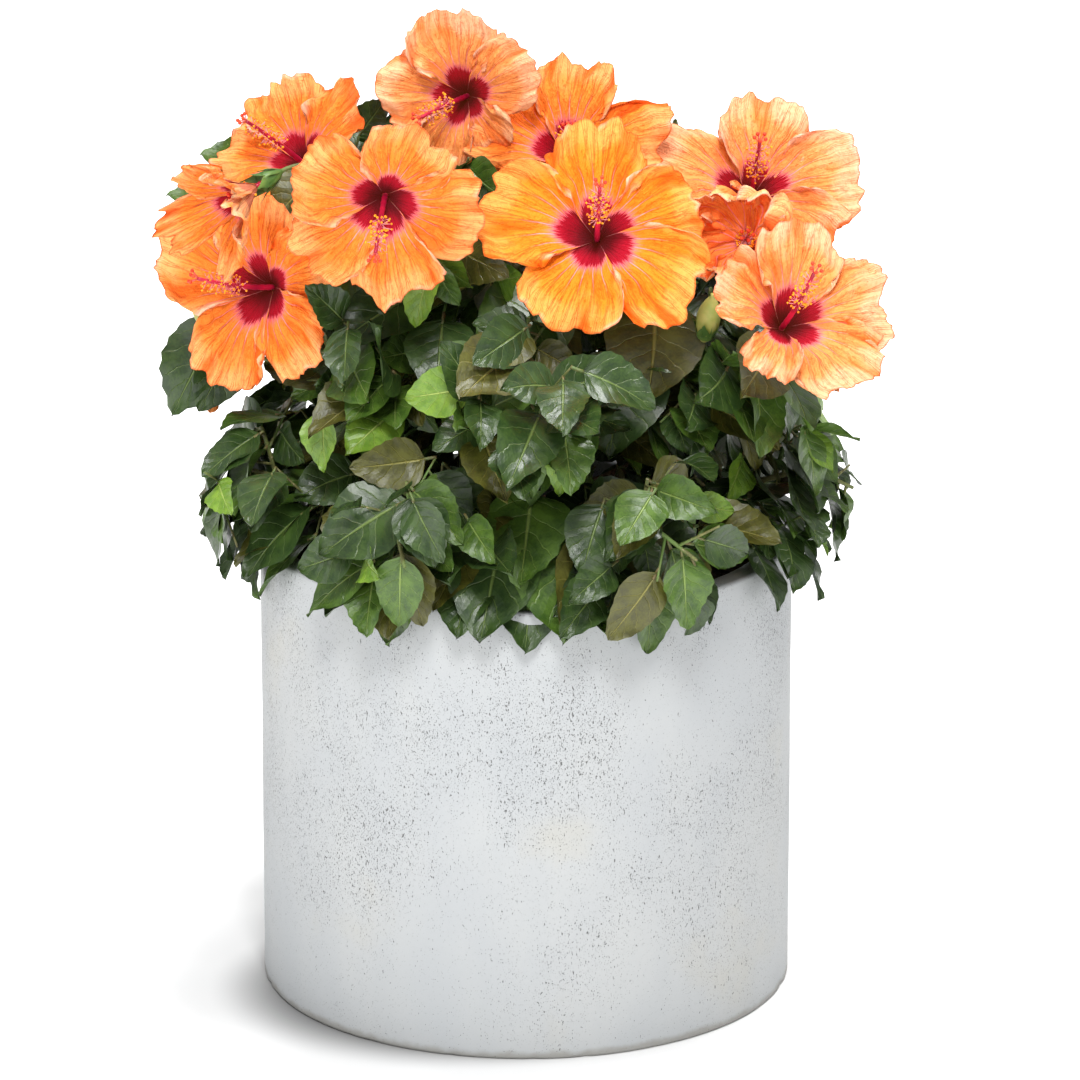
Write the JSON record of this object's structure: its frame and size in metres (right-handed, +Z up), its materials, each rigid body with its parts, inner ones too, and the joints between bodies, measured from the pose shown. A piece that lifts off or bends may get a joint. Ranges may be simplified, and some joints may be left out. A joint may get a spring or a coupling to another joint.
{
  "type": "potted hibiscus shrub",
  "caption": "Hibiscus shrub in full bloom, with broad five-petalled flowers and toothed leaves, standing in a straight round cast pot.",
  "frame": {"origin": "centre of the pot's flat underside, on the surface that the pot stands on", "axes": "+Z up, -Y towards the viewer of the picture, +X to that viewer's right"},
  "size_m": [0.5419, 0.559, 0.7491],
  "materials": {
    "cast_concrete": "pale grey cast concrete with fine dark pits, matt",
    "potting_mix": "dark crumbly bark and peat mix, matt",
    "bark": "thin grey-brown bark, greener on the young shoots, satin",
    "foliage": "dark green glossy leaves with paler veins"
  },
  "bodies": {
    "root": {"pot": "cast_concrete", "potting_mix": "potting_mix", "main_stem": "bark", "bough_low_1": "bark", "bough_low_2": "bark", "bough_low_3": "bark", "bough_low_4": "bark", "bough_low_5": "bark", "bough_low_6": "bark", "bough_low_7": "bark", "bough_mid_1": "bark", "bough_mid_2": "bark", "bough_mid_3": "bark", "bough_mid_4": "bark", "bough_mid_5": "bark", "bough_mid_6": "bark", "bough_high_1": "bark", "bough_high_2": "bark", "bough_high_3": "bark", "bough_high_4": "bark", "foliage_low_1": "foliage", "foliage_low_2": "foliage", "foliage_low_3": "foliage", "foliage_low_4": "foliage", "foliage_low_5": "foliage", "foliage_low_6": "foliage", "foliage_low_7": "foliage", "foliage_mid_1": "foliage", "foliage_mid_2": "foliage", "foliage_mid_3": "foliage", "foliage_mid_4": "foliage", "foliage_mid_5": "foliage", "foliage_mid_6": "foliage", "foliage_high_1": "foliage", "foliage_high_2": "foliage", "foliage_high_3": "foliage", "foliage_high_4": "foliage", "foliage_top": "foliage"}
  },
  "joints": []
}
